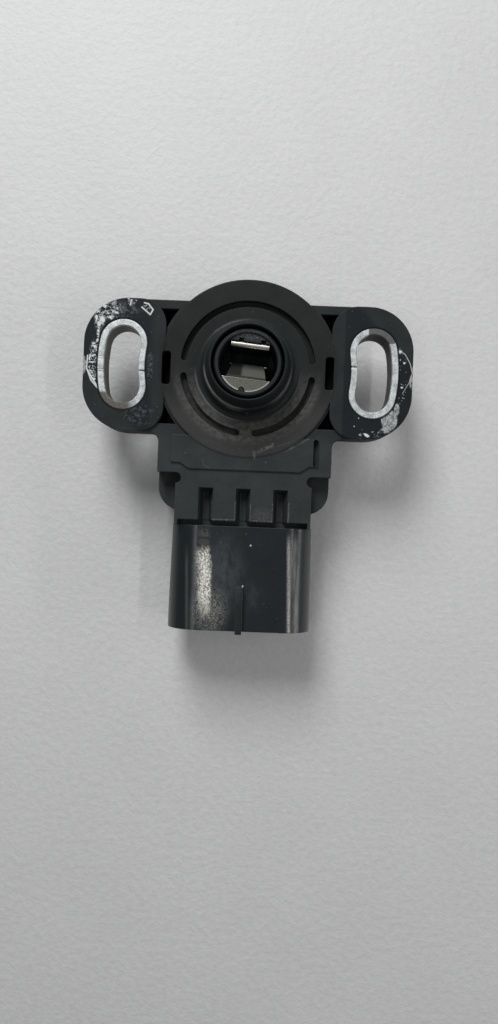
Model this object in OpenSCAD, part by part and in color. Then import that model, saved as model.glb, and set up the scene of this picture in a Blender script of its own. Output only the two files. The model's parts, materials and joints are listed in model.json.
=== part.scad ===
// Throttle position sensor of the kind that bolts to the end of a throttle shaft.
// Millimetres. The shaft axis is Z, and the origin lies on it in the mating face
// of the two bolt pads. The connector points to -Y, and the collar to +Z.

/* [Hub and collar] */
// Diameter of the round hub
hub_d = 30.2; // [29:0.2:30.8]
// Height of the collar above the mating face
collar_h = 6.2; // [5.9:0.1:7]
// Diameter of the collar's foot, where its fillet meets the hub
collar_foot_d = 17.1; // [16.6:0.1:18.4]
// Diameter of the collar's cylindrical pilot
pilot_d = 14.8; // [14.2:0.1:15.2]
// Height of the pilot's shoulder
pilot_h = 3.1; // [2.4:0.1:3.6]
// Diameter at the top of the collar, outside
rim_d = 12.9; // [12.7:0.1:13.4]
// Wide bore of the collar round the rotor
collar_bore_d = 11.94; // [11.7:0.02:12.1]
// Depth of the hub face below the mating face
hub_drop = 0.1; // [0.05:0.05:0.2]
// Middle diameter of the arc grooves
groove_d = 21.8; // [21:0.1:22.4]
// Width of the arc grooves
groove_w = 1.1; // [0.8:0.1:1.4]
// Depth of the arc grooves
groove_depth = 1.1; // [0.6:0.1:1.5]
// Length of the bridges between the grooves
groove_bridge = 2; // [1.4:0.1:3]

/* [Ears] */
// Distance between the middles of the two slots
slot_spacing = 42.7; // [42.1:0.2:43.1]
// Width of each slot, inside its sleeve
slot_w = 5.8; // [5.2:0.1:6.2]
// Length of each slot, inside its sleeve
slot_l = 13.1; // [12:0.1:13.6]
// Wall of the steel sleeves
sleeve_wall = 1.1; // [0.8:0.1:1.3]
// Length of the steel sleeves, which is also the thickness of the ears
sleeve_l = 5.1; // [4.6:0.1:5.8]
// Gap where each rolled sleeve meets
seam_gap = 0.15; // [0.1:0.05:0.3]
// How far the seam lies from the middle of its side
seam_shift = 1; // [0.5:0.1:1.6]
// Width across both ears
ear_span = 55.4; // [54.8:0.2:57]
// Width of the ears across the slots' long way
ear_l = 22.3; // [21.8:0.1:22.8]
// Outer corner radius of the ears
ear_corner_r = 7.5; // [6:0.25:8.5]
// Corner radius of the bolt pads on the hub's side
pad_corner_r = 4.3; // [3:0.1:5]
// Height of the bolt pads over the plate
pad_rise = 0.45; // [0.3:0.05:0.6]
// Depth of the pockets between hub and pads
pocket_depth = 3.6; // [2:0.1:4]

/* [Neck] */
// Width of the plate below the ears
plate_w = 29.3; // [28.8:0.1:29.8]
// Where the plate ends below the shaft axis
plate_end = 17.8; // [17.6:0.1:18.4]
// Fillet between the ears and the plate
ear_fillet_r = 1.7; // [1:0.1:2.4]
// Width of the raised panel
panel_w = 24.8; // [23:0.2:25.6]
// Height of the raised panel over the plate
panel_rise = 0.3; // [0.2:0.05:0.34]
// Width of the neck
neck_w = 23; // [22.4:0.1:23.4]
// Width of the channels over the terminals
channel_w = 2.5; // [1.8:0.1:3]
// Depth of those channels
channel_depth = 2.5; // [1.4:0.1:2.6]
// Where the rear box ends below the shaft axis
box_end = 24.2; // [23.8:0.1:24.8]
// Corner radius of the rear box
box_corner_r = 4; // [3:0.1:4.6]

/* [Connector] */
// Width of the connector shroud at its rim
shroud_w = 24.7; // [24.2:0.1:25.2]
// Height of the shroud
shroud_h = 12; // [11.6:0.1:12.4]
// Wall of the shroud
shroud_wall = 1.5; // [1.2:0.1:1.7]
// Corner radius of the shroud, outside
shroud_r = 5; // [4:0.25:5.8]
// Where the shroud starts, below the shaft axis
shroud_start = 26.6; // [26.4:0.1:27]
// Length of the shroud
shroud_l = 17.7; // [17:0.1:19]
// Narrowing of the shroud on each side, from its rim to its root
shroud_draft = 0.45; // [0.2:0.05:0.5]
// Depth of the socket
socket_depth = 16.3; // [15.4:0.1:16.6]
// Width of the key rib
key_w = 1.1; // [0.8:0.1:1.4]
// Height of the key rib
key_h = 1.2; // [0.8:0.1:1.4]
// Length of the key rib
key_l = 7.9; // [6:0.1:10]
// Distance between terminals, and between the channels over them
way_pitch = 6.3; // [6:0.1:6.4]
// Width of a terminal blade
blade_w = 2.3; // [1.8:0.1:2.6]
// Thickness of a terminal blade
blade_t = 0.64; // [0.5:0.02:0.8]
// Length of blade that stands in the socket
blade_l = 9.8; // [8:0.1:10.4]

/* [Rotor] */
// Diameter of the rotor's neck in the collar
rotor_d = 11.1; // [10.9:0.02:11.2]
// Height of the rotor above the mating face
rotor_h = 5.6; // [5.4:0.05:5.8]
// Bore of the rotor
rotor_bore_d = 9.5; // [9.2:0.05:9.6]
// Distance of the bore's flat from the axis
flat_y = 3.35; // [3.3:0.05:3.5]
// Running clearance of the rotor in its bearings, on the radius
run_clear = 0.04; // [0.02:0.01:0.08]
// Turn of the rotor at rest
rest_turn = -5.5; // [-8:0.5:0]
// Diameter of the rotor's rear journal
journal_d = 6; // [5.4:0.1:6.4]
// Thickness of the clip's sheet
clip_t = 0.35; // [0.3:0.01:0.4]
// Width of the clip's rolled bar
clip_w = 6.2; // [5.8:0.1:6.4]
// Swing of the rotor between its stops
swing = 104; // [90:1:110]

/* [Inside] */
// Thickness of the front wall behind the mating face
front_wall = 3; // [2.8:0.05:3.1]
// Depth of the element board's front face
board_z = 6.6; // [6.5:0.05:6.8]
// Thickness of the element board
board_t = 1; // [0.8:0.1:1.2]
// Depth of the housing's back rim
rim_z = 11.5; // [11.3:0.1:11.8]
// Thickness of the back cover
cover_t = 2.5; // [2.2:0.1:2.8]
// Thickness of the cover's seal
seal_t = 0.8; // [0.6:0.1:1]
// Section of the shaft seal
ring_d = 1.3; // [1.1:0.05:1.4]

/* [Hidden] */
$fn = 96;

// A cut runs this far past the face it opens
over = 1;
// Room left round a moulded-in piece
mould_gap = 0.01;
// What the round ends of curved slots lack of half the slot's width
end_step = 0.02;
// Room between pieces that are assembled
fit_gap = 0.1;
// Room between a sliding contact and its track
slide_gap = 0.03;

hub_r = hub_d / 2;
slot_r = slot_spacing / 2;
slot_half_angle = asin((slot_l - slot_w) / 2 / slot_r);
ear_x = ear_span / 2;
ear_y = ear_l / 2;
pad_x = slot_r - slot_w / 2 - sleeve_wall - 3.35;
pad_waist_r = pad_x + 0.5;
pocket_hub_r = hub_r + 0.2;
pocket_y = ear_y - 1.45;
waist_pocket = [1.5, 5.6];
waist_pocket_r = 0.5;
waist_pocket_y = -0.3;
plate_z = -pad_rise;
hub_z = -hub_drop;
panel_z = plate_z + panel_rise;
box_z = -3.6;
back_z = -rim_z - cover_t;
plate_x = plate_w / 2;
neck_x = neck_w / 2;
panel_x = panel_w / 2;
panel_top = 11.5;
panel_low = plate_end - 0.7;
panel_step = 1;
panel_slot_w = 0.8;
panel_slot_x = panel_x - 0.45;
panel_slot_depth = 1.2;
channel_top = box_end - 4;
channel_draft = 0.75;
channel_slope = 0.9;
hub_edge = 0.2;
gap_w = 0.95;
gap_depth = 2.6;
gap_side = 0.5;
notch_r = 0.9;

shroud_top = -0.6;
shroud_z = shroud_top - shroud_h / 2;
rim_y = -shroud_start - shroud_l;
socket_w = shroud_w - 2 * shroud_draft - 2 * shroud_wall;
socket_h = shroud_h - 2 * shroud_wall;
socket_r = shroud_r - shroud_wall;
socket_y = rim_y + socket_depth;
blade_tip_y = socket_y - blade_l;
blade_root_y = socket_y + 9;
blade_taper = 0.8;
blade_bevel = 0.5;
blade_neck = 0.35;
key_over = 0.35;
catch_w = 5;
catch_h = 1.2;
catch_y = rim_y + 5;
catch_l = 4.4;
catch_top = 0.8;

rear_r = hub_r - 2.5;
rear_x = rear_r - 2.9;
rear_y = -box_end + 3.2;
chamber_r = rear_r - 1.3;
chamber_x = rear_x - 1;
chamber_y = rear_y + 0.5;
board_r = rear_r - fit_gap;
board_x = rear_x - fit_gap;
board_y = chamber_y + 2.7;
track_t = 0.05;
track_z = -board_z + track_t;
resistor_r = chamber_r - 2.7;
resistor_w = 1.2;
collector_r = resistor_r - 1.1;
collector_w = 0.7;
board_hole_r = collector_r - 0.4;
pad_y = board_y + 1.4;
pad_size = [2, 1.8];
groove_in = 0.6;
groove_seal_w = 0.8;
cover_edge = 0.5;
skirt_w = 1.1;

pilot_fillet = (collar_foot_d - pilot_d) / 2;
rotor_r = rotor_d / 2;
bore_r = rotor_bore_d / 2;
land_top = 2;
ring_z = 0.4;
ring_groove = ring_d + 0.2;
flange_r = chamber_r - 2.3;
flange_top = -front_wall - 0.05;
flange_t = 1.5;
flange_z = flange_top - flange_t;
rotor_hub_r = board_hole_r - 0.5;
rotor_back = -board_z - board_t - 1;
washer_t = 0.5;
boss_z = rotor_back - washer_t - 0.05;
journal_end = -rim_z - cover_t / 2;
lug_half = 9;
lug_r = flange_r + 0.7;
lug_w = 2;
stop_half = 6;
stop_gap = 1;
stop_r = chamber_r - 0.8;
stop_w = 2.4;
bore_floor = -4;
floor_t = 1.2;
flat_top = rotor_h - 0.35;
flat_notch = [0.8, 0.5, 1.6];
flat_notch_x = [-1.5, 2.1];
ledge_z = rotor_h - 1;
ledge_y = -2.75;
nub = [0.6, 0.75];
nub_x = -0.5;
nub_gap = 0.15;
roll_r = 0.42;
finger_w = 0.28;
finger_pitch = 0.5;
finger_l = 3.4;
wiper_t = 0.18;
wiper_r = [collector_r - 0.6, resistor_r + 1.1];
wiper_half_angle = 52;
wiper_angle = 180;
post_angles = [140, 220];
post_r = collector_r + 0.2;
post_d = 0.7;
post_h = 0.35;
spring_w = 1.4;
spring_t = 0.2;
track_half = swing / 2 + 8;
track_mid = wiper_angle + swing / 2;

shell = [0.19, 0.2, 0.21];
shell_worn = [0.24, 0.25, 0.26];
steel = [0.72, 0.72, 0.7];
spring_steel = [0.85, 0.84, 0.8];
rubber = [0.08, 0.08, 0.08];
tinned = [0.8, 0.8, 0.78];
bronze = [0.75, 0.55, 0.3];
ceramic = [0.88, 0.87, 0.82];
carbon = [0.12, 0.12, 0.13];
silver = [0.86, 0.86, 0.88];

// Rectangle with round corners, in the plane
module round_rect(size, r) {
  inner = [size[0] - 2 * r, size[1] - 2 * r];
  square([size[0], inner[1]], center = true);
  square([inner[0], size[1]], center = true);
  for (sx = [-1, 1], sy = [-1, 1])
    translate([sx * inner[0] / 2, sy * inner[1] / 2]) circle(r);
}

// Pie slice that starts at angle a and spans b degrees, b under 180
module wedge(a, b, r) {
  polygon([
    [0, 0],
    [r * cos(a), r * sin(a)],
    [r * cos(a + b / 2) / cos(b / 2), r * sin(a + b / 2) / cos(b / 2)],
    [r * cos(a + b), r * sin(a + b)]
  ]);
}

// Part of a ring, with square ends
module arc_band(r, w, a, b) {
  intersection() {
    difference() {
      circle(r + w / 2);
      circle(r - w / 2);
    }
    wedge(a, b, (r + w) * 1.2);
  }
}

// Part of a ring, with round ends a hair narrower than the band
module arc_slot(r, w, a, b) {
  arc_band(r, w, a, b);
  for (end = [a, a + b])
    rotate(end) translate([r, 0]) circle(w / 2 - end_step);
}

// Kidney round one slot, w wide, on the right-hand ear
module kidney(w) {
  arc_slot(slot_r, w, -slot_half_angle, 2 * slot_half_angle);
}

// Strip of sheet along a path of points, t thick
module strip(path, t) {
  for (i = [0 : len(path) - 2]) {
    step = path[i + 1] - path[i];
    translate((path[i] + path[i + 1]) / 2)
      rotate(atan2(step[1], step[0])) square([norm(step), t], center = true);
  }
  for (p = path)
    translate(p) circle(t / 2, $fn = 24);
}

// Turns a shape drawn with Y across and Z up so that it is extruded along X
module along_x(w) {
  rotate([90, 0, 90]) linear_extrude(w, center = true) children();
}

// Raised pad round the right-hand slot
module pad_outline() {
  difference() {
    ear_outline();
    translate([-over, -ear_l]) square([pad_x + over, 2 * ear_l]);
    pad_corners();
    circle(pad_waist_r);
  }
}

// What the round corners on the hub's side take off a pad
module pad_corners() {
  for (sy = [-1, 1])
    difference() {
      translate([pad_x, sy * ear_y]) square(2 * pad_corner_r, center = true);
      translate([pad_x + pad_corner_r, sy * (ear_y - pad_corner_r)]) circle(pad_corner_r);
    }
}

// Right-hand ear, from the hub out
module ear_outline() {
  r = ear_corner_r;
  translate([0, -ear_y]) square([ear_x - r, ear_l]);
  translate([0, -ear_y + r]) square([ear_x, ear_l - 2 * r]);
  for (sy = [-1, 1])
    translate([ear_x - r, sy * (ear_y - r)]) circle(r);
}

module both_sides() {
  children();
  mirror([1, 0, 0]) children();
}

// Concave corner between the lower edge of an ear and the side of the plate
module ear_fillet() {
  r = ear_fillet_r;
  translate([plate_x, -ear_y])
    difference() {
      translate([0, -r]) square([r, r]);
      translate([r, -r]) circle(r);
    }
}

// Outline of the rear box and the cover, drawn in by a margin
module box_outline(inset) {
  circle(hub_r - inset);
  box_rect(inset);
}

module box_rect(inset) {
  translate([0, -box_end / 2])
    round_rect([plate_w - 2 * inset, box_end - 2 * inset], box_corner_r - inset);
}

// Room for the rotor's flange and, towards the connector, the contact springs
module front_chamber() {
  circle(chamber_r);
  translate([-chamber_x, chamber_y]) square([2 * chamber_x, -chamber_y]);
}

module rear_chamber(inset) {
  circle(rear_r - inset);
  translate([-rear_x + inset, rear_y + inset])
    square([2 * (rear_x - inset), -rear_y - inset]);
}

module plate_outline() {
  circle(hub_r);
  both_sides() {
    ear_outline();
    ear_fillet();
  }
  translate([-plate_x, -plate_end]) square([plate_w, plate_end]);
}

// Blind pockets between the hub and a pad
module pockets() {
  difference() {
    translate([hub_r / 2, -pocket_y]) square([hub_r, 2 * pocket_y]);
    translate([0, -waist_pocket[1]]) square([ear_x, 2 * waist_pocket[1]]);
    circle(pocket_hub_r);
    pad_outline();
  }
  translate([pad_waist_r - waist_pocket[0] / 2, waist_pocket_y])
    round_rect(waist_pocket, waist_pocket_r);
}

// Panel with its two lower corners stepped
module panel_outline() {
  step = panel_step;
  difference() {
    polygon([
      [-panel_x, -panel_top],
      [-panel_x, -panel_low + step],
      [-panel_x + 1.5 * step, -panel_low + step],
      [-panel_x + 3 * step, -panel_low],
      [panel_x - 3 * step, -panel_low],
      [panel_x - 1.5 * step, -panel_low + step],
      [panel_x, -panel_low + step],
      [panel_x, -panel_top]
    ]);
    circle(hub_r - over);
  }
}

// Narrow slot down the panel's right-hand edge
module panel_slot() {
  low = -panel_low + panel_step;
  slot_h = -panel_top - low;
  translate([panel_slot_x, low + slot_h / 2])
    round_rect([panel_slot_w, slot_h], panel_slot_w / 2 - end_step);
}

// Three arc grooves: one over the top half, and two below it
module grooves() {
  r = groove_d / 2;
  end = (groove_bridge + groove_w) / 2 / r * 180 / PI;
  arc_slot(r, groove_w, end, 180 - 2 * end);
  for (a = [180, 270])
    arc_slot(r, groove_w, a + end, 90 - 2 * end);
}

// Collar, drawn as radius and height
module collar_profile() {
  foot_r = collar_foot_d / 2;
  pilot_r = pilot_d / 2;
  top_r = rim_d / 2;
  difference() {
    polygon([
      [rotor_r + run_clear, -front_wall],
      [hub_r - hub_edge, -front_wall],
      [hub_r - hub_edge, hub_z],
      [foot_r, hub_z],
      [pilot_r, hub_z + pilot_fillet],
      [pilot_r, pilot_h - 0.15],
      [pilot_r - 0.15, pilot_h],
      [pilot_r - 0.35, pilot_h],
      [top_r + 0.05, collar_h - 0.5],
      [top_r - 0.25, collar_h],
      [collar_bore_d / 2 + 0.1, collar_h],
      [collar_bore_d / 2, collar_h - 0.1],
      [collar_bore_d / 2, land_top],
      [rotor_r + run_clear, land_top]
    ]);
    translate([foot_r, hub_z + pilot_fillet]) circle(pilot_fillet);
    translate([rotor_r, ring_z - ring_groove / 2]) square([ring_d + 0.1, ring_groove]);
  }
}

// Small wedge in the collar's fillet that marks the connector's side
module collar_mark() {
  half = 0.9;
  reach = 0.6;
  linear_extrude(hub_z + pilot_fillet - fit_gap)
    polygon([
      [-half, -pilot_d / 2 + reach],
      [half, -pilot_d / 2 + reach],
      [0, -pilot_d / 2 - reach]
    ]);
}

// Shroud with its side faces drawn in towards the root
module shroud_solid() {
  root_x = shroud_w / 2 - shroud_draft;
  intersection() {
    translate([0, -shroud_start, shroud_z])
      rotate([90, 0, 0]) linear_extrude(shroud_l) round_rect([shroud_w, shroud_h], shroud_r);
    translate([0, 0, shroud_z - shroud_h])
      linear_extrude(2 * shroud_h) polygon([
        [-root_x, -shroud_start], [-shroud_w / 2, rim_y],
        [shroud_w / 2, rim_y], [root_x, -shroud_start]
      ]);
  }
  key_top = shroud_top + key_h;
  translate([-key_w / 2, rim_y - key_over, shroud_z])
    cube([key_w, key_l, key_top - shroud_z]);
  lock_catch();
}

// Ramp on the underside that the plug's latch snaps over
module lock_catch() {
  low = shroud_z - shroud_h / 2;
  end = catch_y + catch_l;
  along_x(catch_w) polygon([
    [catch_y, low + shroud_wall / 2],
    [catch_y, low],
    [end - catch_top, low - catch_h],
    [end, low - catch_h],
    [end, low + shroud_wall / 2]
  ]);
}

// Blade with a bevelled tip and a narrower root, grown by a gap all round
module terminal_outline(gap) {
  half = blade_w / 2 + gap;
  inner = half - blade_neck;
  shoulder = chamber_y - blade_taper;
  polygon([
    [-inner, blade_root_y + gap],
    [-inner, shoulder],
    [-half, shoulder - blade_bevel],
    [-half, blade_tip_y + blade_taper],
    [-half + blade_bevel, blade_tip_y - gap],
    [half - blade_bevel, blade_tip_y - gap],
    [half, blade_tip_y + blade_taper],
    [half, shoulder - blade_bevel],
    [inner, shoulder],
    [inner, blade_root_y + gap]
  ]);
}

module blade(gap) {
  translate([0, 0, shroud_z - blade_t / 2 - gap])
    linear_extrude(blade_t + 2 * gap) terminal_outline(gap);
}

// Channels over the terminals, with drawn-in walls and a sloping upper end
module neck_channels() {
  top = channel_w / 2;
  low = top - channel_draft;
  rise = over / channel_depth;
  for (i = [-1 : 1])
    translate([i * way_pitch, 0, 0]) intersection() {
      translate([0, -channel_top, plate_z]) rotate([90, 0, 0])
        linear_extrude(shroud_start - channel_top) polygon([
          [-top - channel_draft * rise, over],
          [-low, -channel_depth],
          [low, -channel_depth],
          [top + channel_draft * rise, over]
        ]);
      along_x(2 * channel_w) polygon([
        [-channel_top + channel_slope * rise, plate_z + over],
        [-channel_top - channel_slope, plate_z - channel_depth - over],
        [-shroud_start - over, plate_z - channel_depth - over],
        [-shroud_start - over, plate_z + over]
      ]);
    }
}

// Trench across the neck, as the lands between the channels stop short of the shroud
module neck_gap() {
  translate([-neck_x + gap_side, -shroud_start, plate_z - gap_depth])
    cube([neck_w - 2 * gap_side, gap_w, gap_depth + over]);
}

// Two stops that the rotor's lug meets just past either end of its swing
module stops() {
  for (side = [-1, 1])
    rotate(90 + swing / 2 + side * (swing / 2 + lug_half + stop_half + stop_gap))
      translate([0, 0, flange_z + fit_gap])
        linear_extrude(-front_wall - flange_z - fit_gap + over)
          arc_band(stop_r, stop_w, -stop_half, 2 * stop_half);
}

module housing() {
  color(shell) difference() {
    union() {
      translate([0, 0, -sleeve_l]) linear_extrude(sleeve_l + plate_z) plate_outline();
      translate([0, 0, -sleeve_l]) linear_extrude(sleeve_l)
        both_sides() pad_outline();
      rotate_extrude() collar_profile();
      collar_mark();
      translate([0, 0, plate_z - over]) linear_extrude(over + panel_rise) panel_outline();
      rear_box();
      neck();
      shroud_solid();
    }
    both_sides() translate([0, 0, -sleeve_l - over])
      linear_extrude(sleeve_l + 2 * over) kidney(slot_w + 2 * sleeve_wall + 2 * mould_gap);
    both_sides() translate([0, 0, plate_z - pocket_depth])
      linear_extrude(pocket_depth + over) pockets();
    translate([0, 0, hub_z - groove_depth]) linear_extrude(groove_depth + over) grooves();
    translate([0, 0, panel_z - panel_slot_depth])
      linear_extrude(panel_slot_depth + over) panel_slot();
    rotor_space();
    inner_space();
    neck_channels();
    neck_gap();
    both_sides() translate([neck_x, -plate_end - notch_r, box_z])
      cylinder(r = notch_r, h = -box_z + over);
    translate([0, socket_y, shroud_z]) rotate([90, 0, 0])
      linear_extrude(socket_depth + over) round_rect([socket_w, socket_h], socket_r);
    for (i = [-1 : 1]) translate([i * way_pitch, 0, 0]) blade(mould_gap);
    seal_ring(0);
  }
  color(shell) intersection() {
    stops();
    translate([0, 0, flange_z]) cylinder(r = chamber_r + 0.3, h = flange_t + over);
  }
}

// Box behind the hub, which reaches up to the ears' back where they cross it
module rear_box() {
  translate([0, 0, -rim_z]) {
    linear_extrude(rim_z + box_z) box_outline(0);
    linear_extrude(rim_z + plate_z) circle(hub_r);
    linear_extrude(rim_z - sleeve_l + over) intersection() {
      box_rect(0);
      translate([-plate_x, -ear_y - over]) square([plate_w, 2 * ear_y]);
    }
  }
  translate([-plate_x, -plate_end, -rim_z])
    cube([plate_w, plate_end - ear_y, rim_z + plate_z]);
}

// Neck between plate and shroud, and the block that joins the two low down
module neck() {
  translate([-neck_x, -shroud_start, -rim_z])
    cube([neck_w, shroud_start - ear_y, rim_z + plate_z]);
  translate([-neck_x, -shroud_start - over, -rim_z])
    cube([neck_w, 2 * over, rim_z + shroud_z]);
}

// Everything that the rotor and its seal need inside the collar
module rotor_space() {
  translate([0, 0, -front_wall - over])
    cylinder(r = rotor_r + run_clear, h = front_wall + over + land_top + 0.1);
  translate([0, 0, land_top])
    cylinder(d = collar_bore_d, h = collar_h - land_top + over);
  translate([0, 0, ring_z - ring_groove / 2])
    cylinder(r = rotor_r + ring_d + 0.1, h = ring_groove);
}

// Chamber for the rotor's flange, and behind its ledge the board's seat
module inner_space() {
  translate([0, 0, -board_z - over])
    linear_extrude(board_z - front_wall + over) front_chamber();
  translate([0, 0, -rim_z - over])
    linear_extrude(rim_z - board_z + over) rear_chamber(0);
}

// Seal between housing and cover, in a groove of the housing's rim
module seal_ring(gap) {
  translate([0, 0, -rim_z]) linear_extrude(seal_t) difference() {
    box_outline(groove_in + gap);
    box_outline(groove_in + groove_seal_w - gap);
  }
}

module cover_seal() {
  color(rubber) seal_ring(mould_gap);
}

// Cover with a skirt that holds the board, and a boss that bears the rotor
module back_cover() {
  skirt_top = -board_z - board_t;
  spring_room = 0.5;
  color(shell_worn) difference() {
    union() {
      translate([0, 0, back_z + cover_edge])
        linear_extrude(cover_t - cover_edge) box_outline(0);
      translate([0, 0, back_z]) linear_extrude(cover_edge) box_outline(cover_edge);
      translate([0, 0, -rim_z]) linear_extrude(rim_z + skirt_top) difference() {
        circle(board_r);
        circle(board_r - skirt_w);
      }
      translate([0, 0, -rim_z]) cylinder(r = rotor_hub_r, h = rim_z + boss_z);
      translate([-board_x, rear_y + fit_gap, -rim_z])
        cube([2 * board_x, skirt_w, rim_z + skirt_top - spring_room]);
    }
    translate([0, 0, journal_end - fit_gap])
      cylinder(r = journal_d / 2 + run_clear, h = rim_z + cover_t);
  }
}

// Rolled from strip and closed with a seam on the side of the hub
module sleeve(turned) {
  color(steel) translate([0, 0, -sleeve_l]) linear_extrude(sleeve_l) difference() {
    kidney(slot_w + 2 * sleeve_wall);
    kidney(slot_w);
    translate([slot_r - slot_w / 2 - 2 * sleeve_wall, turned * seam_shift - seam_gap / 2])
      square([3 * sleeve_wall, seam_gap]);
  }
}

module sleeve_right() {
  sleeve(1);
}

module sleeve_left() {
  mirror([1, 0, 0]) sleeve(-1);
}

module shaft_seal() {
  color(rubber) translate([0, 0, ring_z]) rotate_extrude()
    translate([rotor_r + run_clear + ring_d / 2, 0]) circle(d = ring_d, $fn = 32);
}

module thrust_washer() {
  color(bronze) translate([0, 0, boss_z]) difference() {
    cylinder(r = rotor_hub_r - washer_t, h = washer_t);
    translate([0, 0, -over]) cylinder(r = journal_d / 2 + fit_gap, h = washer_t + 2 * over);
  }
}

module element_board() {
  color(ceramic) translate([0, 0, -board_z - board_t]) linear_extrude(board_t)
    difference() {
      union() {
        circle(board_r);
        translate([-board_x, board_y]) square([2 * board_x, -board_y]);
      }
      circle(board_hole_r);
    }
}

module resistor_track() {
  color(carbon) translate([0, 0, -board_z]) linear_extrude(track_t)
    arc_band(resistor_r, resistor_w, track_mid - track_half, 2 * track_half);
}

module collector_track() {
  color(silver) translate([0, 0, -board_z]) linear_extrude(track_t)
    arc_band(collector_r, collector_w, track_mid - track_half, 2 * track_half);
}

// Printed pads on the board's tab, which the contact springs press on
module board_pads() {
  color(silver) translate([0, 0, -board_z]) linear_extrude(track_t)
    for (i = [-1 : 1])
      translate([i * way_pitch, pad_y]) square(pad_size, center = true);
}

module terminal_supply() {
  color(tinned) translate([-way_pitch, 0, 0]) blade(0);
}

module terminal_signal() {
  color(tinned) blade(0);
}

module terminal_ground() {
  color(tinned) translate([way_pitch, 0, 0]) blade(0);
}

// Bent strip that joins a terminal's root to its pad on the board
module contact_spring() {
  foot_z = shroud_z + blade_t / 2 + spring_t / 2;
  tip_z = track_z + spring_t / 2;
  bow = 0.9;
  color(bronze) along_x(spring_w) strip([
    [chamber_y + fit_gap, foot_z],
    [blade_root_y, foot_z],
    [blade_root_y + bow, foot_z + bow],
    [blade_root_y + 2 * bow, foot_z + 0.8 * bow],
    [pad_y, tip_z],
    [pad_y + 3 * spring_t, tip_z + 1.5 * spring_t]
  ], spring_t);
}

module contact_spring_supply() {
  translate([-way_pitch, 0, 0]) contact_spring();
}

module contact_spring_signal() {
  contact_spring();
}

module contact_spring_ground() {
  translate([way_pitch, 0, 0]) contact_spring();
}

// Rotor, drawn as radius and height
module rotor_profile() {
  polygon([
    [0, bore_floor - floor_t],
    [0, journal_end],
    [journal_d / 2 - 0.3, journal_end],
    [journal_d / 2, journal_end + 0.3],
    [journal_d / 2, rotor_back],
    [rotor_hub_r, rotor_back],
    [rotor_hub_r, flange_z],
    [flange_r, flange_z],
    [flange_r, flange_top],
    [rotor_r, flange_top],
    [rotor_r, rotor_h - 0.25],
    [rotor_r - 0.25, rotor_h],
    [bore_r + 0.15, rotor_h],
    [bore_r, rotor_h - 0.15],
    [bore_r, bore_floor],
    [0, bore_floor]
  ]);
}

// Part of the bore beyond a line across it, a hair into the bore's wall
module bore_segment(from_y, up_y, top) {
  height = top - bore_floor + mould_gap;
  translate([0, 0, bore_floor - mould_gap]) intersection() {
    cylinder(r = bore_r + 5 * mould_gap, h = height);
    translate([-bore_r, from_y, -over]) cube([rotor_bore_d, up_y, height + 2 * over]);
  }
}

// Outline of the nub that the clip's shelf is cut out for, grown by a gap
module nub_outline(gap) {
  half = nub[0] + gap;
  tip = nub[1] + gap;
  translate([nub_x, -bore_r])
    polygon([
      [-half, -nub_gap], [-half / 2, 0.7 * tip], [0, tip], [half / 2, 0.7 * tip],
      [half, -nub_gap]
    ]);
}

// Plastic behind the flat and below the clip's shelf, inside the bore
module bore_fill() {
  bore_segment(flat_y, bore_r, flat_top);
  bore_segment(ledge_y - bore_r, bore_r, ledge_z);
  translate([0, 0, ledge_z - mould_gap]) linear_extrude(clip_t + nub_gap)
    nub_outline(0);
}

module rotor() {
  color(shell_worn) rotate(rest_turn) difference() {
    union() {
      rotate_extrude() rotor_profile();
      bore_fill();
      translate([0, 0, flange_z]) linear_extrude(flange_t)
        arc_band(lug_r, lug_w, 90 - rest_turn - lug_half, 2 * lug_half);
      for (a = post_angles)
        rotate(a) translate([post_r, 0, flange_z - post_h])
          cylinder(d = post_d, h = 2 * post_h, $fn = 24);
    }
    for (x = flat_notch_x)
      translate([x - flat_notch[0] / 2, flat_y - over, rotor_h - flat_notch[2]])
        cube([flat_notch[0], flat_notch[1] + over, flat_notch[2] + over]);
  }
}

// Outline of the clip's shelf and of the lead-in leaf that narrows to its nose
module leaf_outline(fold_y, nose_y) {
  root = clip_w / 2 + 0.2;
  tip = clip_w / 2 - 0.5;
  intersection() {
    circle(bore_r - fit_gap / 2);
    translate([-bore_r, -bore_r]) square([rotor_bore_d, bore_r + fold_y + fit_gap]);
  }
  polygon([[-root, fold_y], [-tip, nose_y], [tip, nose_y], [root, fold_y]]);
}

// Folded clip: rolled bar, back leg, floor, spring nose, lead-in leaf and shelf
module shaft_clip() {
  back = flat_y - clip_t / 2 - 2 * mould_gap;
  roll_z = rotor_h - 0.9;
  floor_z = bore_floor + clip_t / 2 + 2 * mould_gap;
  shelf_z = ledge_z + clip_t / 2 + mould_gap;
  fold = [ledge_y + fit_gap, shelf_z];
  nose = [0.1, ledge_z - 2.6];
  color(spring_steel) rotate(rest_turn) {
    along_x(clip_w) {
      strip([[back, roll_z], [back, floor_z], [fold[0] + 2 * roll_r, floor_z], nose], clip_t);
      translate([back + clip_t / 2 - roll_r, roll_z]) circle(roll_r, $fn = 32);
    }
    intersection() {
      along_x(rotor_bore_d) strip([nose, fold, [-bore_r, shelf_z]], clip_t);
      translate([0, 0, bore_floor]) linear_extrude(rotor_h - bore_floor) difference() {
        leaf_outline(fold[0], nose[0] + clip_t);
        nub_outline(nub_gap);
      }
    }
  }
}

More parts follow.
